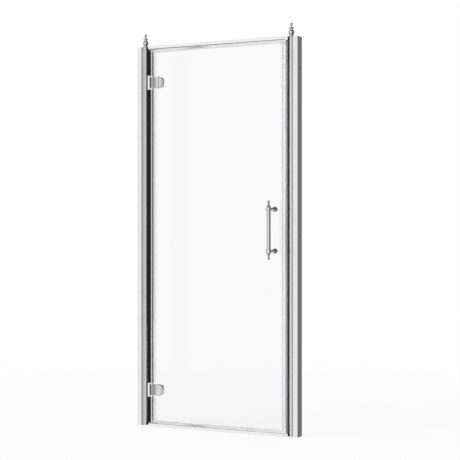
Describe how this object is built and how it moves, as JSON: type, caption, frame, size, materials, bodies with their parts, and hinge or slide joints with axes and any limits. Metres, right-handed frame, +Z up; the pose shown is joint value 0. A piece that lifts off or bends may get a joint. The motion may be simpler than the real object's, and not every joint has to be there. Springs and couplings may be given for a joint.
{
  "type": "pivot shower door",
  "caption": "Framed pivot shower door with chromed posts and finials, clear glass panel, clamp hinges, turned bar handle and adjustable wall channels.",
  "frame": {"origin": "middle of the sill's base, halfway between the wall faces and at the wall channels' mid-depth", "axes": "+X across the opening from the hinge side to the closing side, -Y the outside face with the handle bar, +Z up"},
  "size_m": [0.886, 0.1089, 1.9655],
  "materials": {
    "chromed_aluminium": "bright chrome-effect polish",
    "chromed_brass": "polished chrome plate",
    "stainless_steel": "plain stainless steel",
    "clear_glass": "clear toughened glass, polished edges",
    "clear_pvc": "clear flexible plastic",
    "grey_rubber": "dark grey soft rubber",
    "magnet_strip": "flexible magnet strip",
    "nylon": "moulded nylon"
  },
  "bodies": {
    "left_channel": {"left_wall_channel": "chromed_aluminium", "left_clamp_screws": "stainless_steel", "left_clamp_nuts": "stainless_steel"},
    "frame": {"left_pillar": "chromed_aluminium", "right_pillar": "chromed_aluminium", "left_top_cap": "chromed_brass", "right_top_cap": "chromed_brass", "left_foot_cap": "nylon", "right_foot_cap": "nylon", "left_finial": "chromed_brass", "right_finial": "chromed_brass", "finial_studs": "stainless_steel", "top_rail": "chromed_aluminium", "bottom_rail": "chromed_aluminium", "top_stop_seal": "grey_rubber", "bottom_stop_seal": "grey_rubber", "rail_corner_blocks": "chromed_aluminium", "rail_screws": "stainless_steel", "upper_hinge_bracket": "chromed_brass", "lower_hinge_bracket": "chromed_brass", "upper_hinge_pin": "stainless_steel", "lower_hinge_pin": "stainless_steel", "bracket_screws": "stainless_steel", "hinge_backing_plates": "stainless_steel", "strike_strip": "clear_pvc", "strike_magnet": "magnet_strip"},
    "right_channel": {"right_wall_channel": "chromed_aluminium", "right_clamp_screws": "stainless_steel", "right_clamp_nuts": "stainless_steel"},
    "door": {"glass_panel": "clear_glass", "glass_hole_sleeves": "clear_pvc", "upper_hinge_leaf": "chromed_brass", "lower_hinge_leaf": "chromed_brass", "upper_hinge_back_plate": "chromed_brass", "lower_hinge_back_plate": "chromed_brass", "upper_hinge_gaskets": "clear_pvc", "lower_hinge_gaskets": "clear_pvc", "hinge_bushes": "nylon", "hinge_clamp_screws": "stainless_steel", "hinge_side_seal": "clear_pvc", "strike_side_seal": "clear_pvc", "door_magnet": "magnet_strip", "drip_seal": "clear_pvc", "handle_bar": "chromed_brass", "handle_collars": "chromed_brass", "handle_ends": "chromed_brass", "handle_standoffs": "chromed_brass", "handle_outer_roses": "chromed_brass", "handle_inner_roses": "chromed_brass", "handle_washers": "clear_pvc", "handle_bolts": "stainless_steel"}
  },
  "joints": [
    {"name": "left_width_adjust", "type": "slide", "parent": "left_channel", "child": "frame", "axis": [1, 0, 0], "range_m": [0, 0.01]},
    {"name": "right_width_adjust", "type": "slide", "parent": "frame", "child": "right_channel", "axis": [1, 0, 0], "range_m": [0, 0.01]},
    {"name": "door_swing", "type": "hinge", "parent": "frame", "child": "door", "pos_m": [-0.365, -0.01, 0], "axis": [0, 0, -1], "range_deg": [0, 100]}
  ]
}
